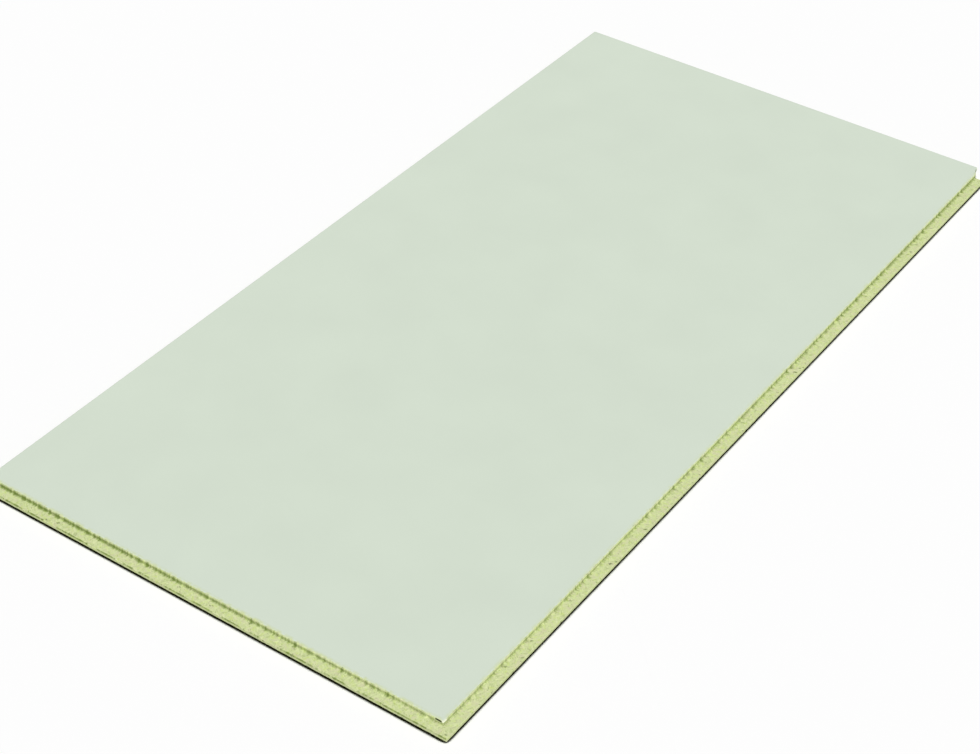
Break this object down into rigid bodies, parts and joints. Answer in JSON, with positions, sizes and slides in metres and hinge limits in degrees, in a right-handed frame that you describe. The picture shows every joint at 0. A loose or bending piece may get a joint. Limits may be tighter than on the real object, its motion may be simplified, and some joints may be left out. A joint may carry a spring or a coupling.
{
  "type": "chipboard ceiling panel",
  "caption": "Flat rectangular chipboard ceiling panel with a pale foil face, tongues along two edges and grooves in the other two.",
  "frame": {"origin": "middle of the panel's outline, tongues included, on its back face", "axes": "+X along the long edges, away from the short tongue; +Y across, away from the long tongue; +Z out of the face. The panel lies on its back with its face up."},
  "size_m": [1.2124, 0.6126, 0.012],
  "materials": {
    "chipboard": "raw milled moisture-resistant chipboard, pale yellow-green, speckled with fine chips",
    "face_foil": "matt pale sage painted paper foil, smooth"
  },
  "bodies": {
    "root": {"chipboard_board": "chipboard", "face_foil": "face_foil"}
  },
  "joints": []
}
